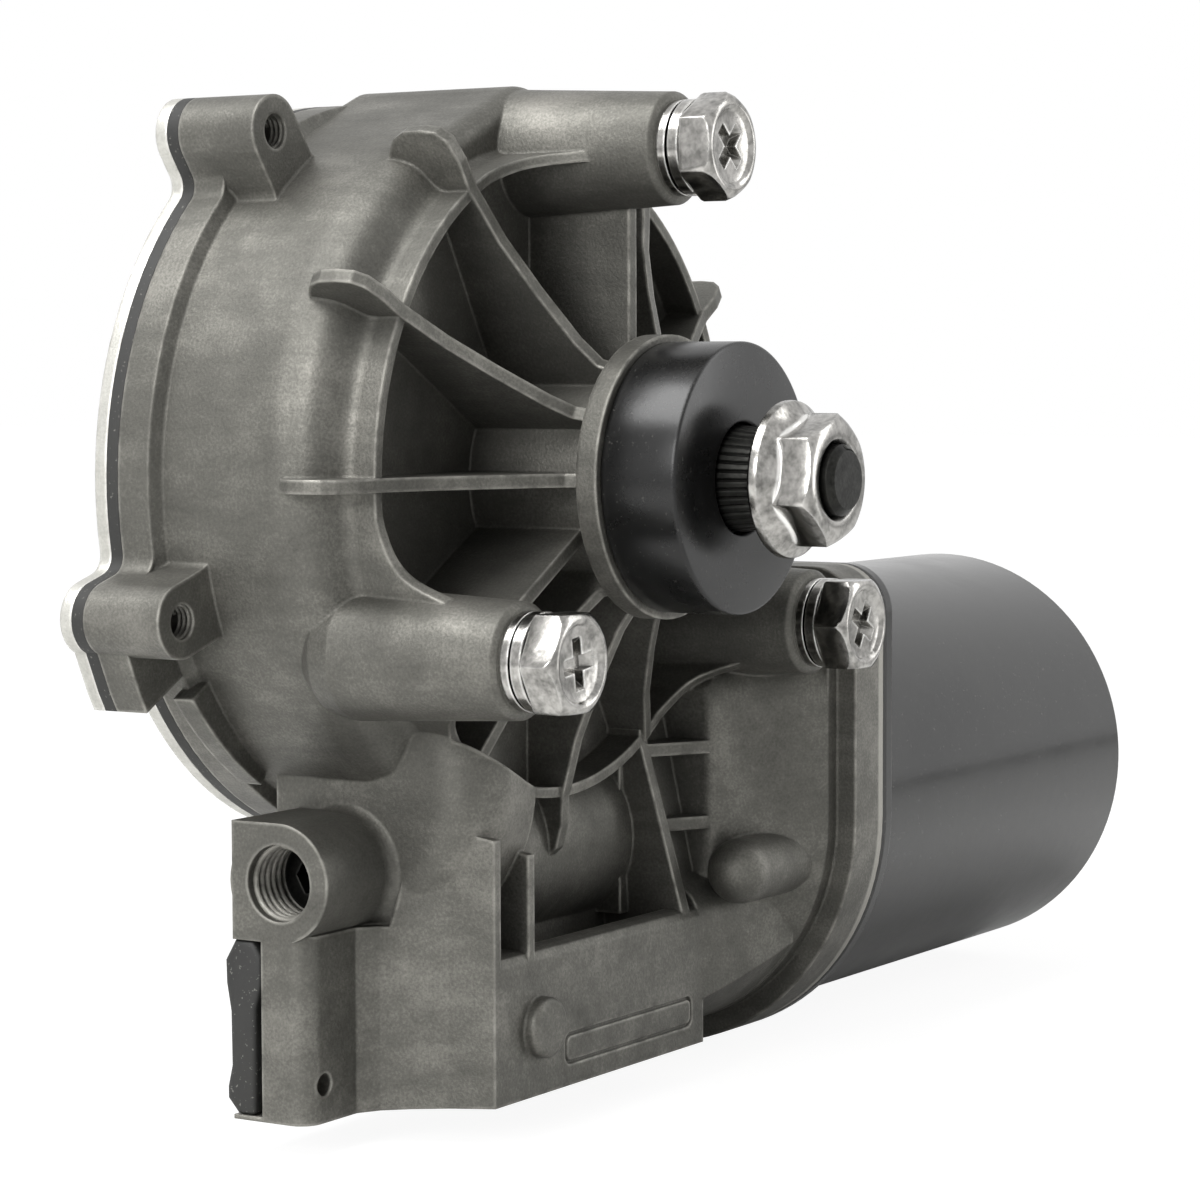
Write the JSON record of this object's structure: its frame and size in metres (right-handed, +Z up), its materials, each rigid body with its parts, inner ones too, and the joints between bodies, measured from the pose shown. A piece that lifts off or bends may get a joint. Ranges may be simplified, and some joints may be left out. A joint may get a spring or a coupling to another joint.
{
  "type": "wiper motor",
  "caption": "Heavy-duty wiper motor: ribbed die-cast worm gear housing with mounting posts and a serrated output shaft, driven by a motor in a round can.",
  "frame": {"origin": "on the output shaft's axis, in the plane of the three mounting post ends", "axes": "+Z up, -Y along the output shaft towards its nut, +X along the motor towards the can's closed end"},
  "size_m": [0.2246, 0.1001, 0.1474],
  "materials": {
    "cast_aluminium": "sand-textured die cast",
    "cover_aluminium": "satin",
    "black_paint": "gloss",
    "black_plastic": "semi-gloss",
    "black_rubber": "matt",
    "zinc_plated_steel": "bright zinc plate",
    "dark_steel": "phosphated",
    "plain_steel": "ground",
    "bronze": "sintered bronze",
    "brass": "rolled",
    "copper": "enamelled copper",
    "nylon": "moulded",
    "brown_laminate": "punched laminate",
    "ferrite": "ground",
    "carbon": "pressed"
  },
  "bodies": {
    "housing": {"gear_housing": "cast_aluminium", "rear_cover": "cover_aluminium", "cover_gasket": "black_rubber", "cover_screws": "zinc_plated_steel", "mounting_bolts": "zinc_plated_steel", "spring_washers": "zinc_plated_steel", "plain_washers": "zinc_plated_steel", "shaft_cap": "black_plastic", "shaft_seal": "black_rubber", "output_bushes": "bronze", "park_carrier": "black_plastic", "park_fingers": "brass", "motor_bushes": "bronze", "thrust_screw": "dark_steel", "thrust_ball": "plain_steel", "motor_can": "black_paint", "can_seal": "black_rubber", "can_screws": "zinc_plated_steel", "magnets": "ferrite", "brush_plate": "brown_laminate", "brush_holders": "brass", "brushes": "carbon", "brush_springs": "plain_steel", "cable_grommet": "black_rubber", "terminal_cover": "cover_aluminium", "terminal_block": "black_plastic", "terminal_blades": "brass"},
    "output": {"output_shaft": "dark_steel", "circlip": "dark_steel", "shim_washers": "plain_steel", "flange_nut": "zinc_plated_steel", "worm_wheel": "nylon", "wheel_hub": "plain_steel", "park_disc": "brass"},
    "armature": {"armature_shaft": "plain_steel", "armature_core": "plain_steel", "armature_winding": "copper", "commutator": "copper"}
  },
  "joints": [
    {"name": "armature_spin", "type": "hinge", "parent": "housing", "child": "armature", "pos_m": [0, 0.036, -0.05425], "axis": [1, 0, 0], "continuous": true},
    {"name": "output_spin", "type": "hinge", "parent": "housing", "child": "output", "pos_m": [0, 0, 0], "axis": [0, 1, 0], "continuous": true}
  ],
  "couplings": [
    {"joint": "output_spin", "follows": "armature_spin", "ratio": 0.015625}
  ]
}
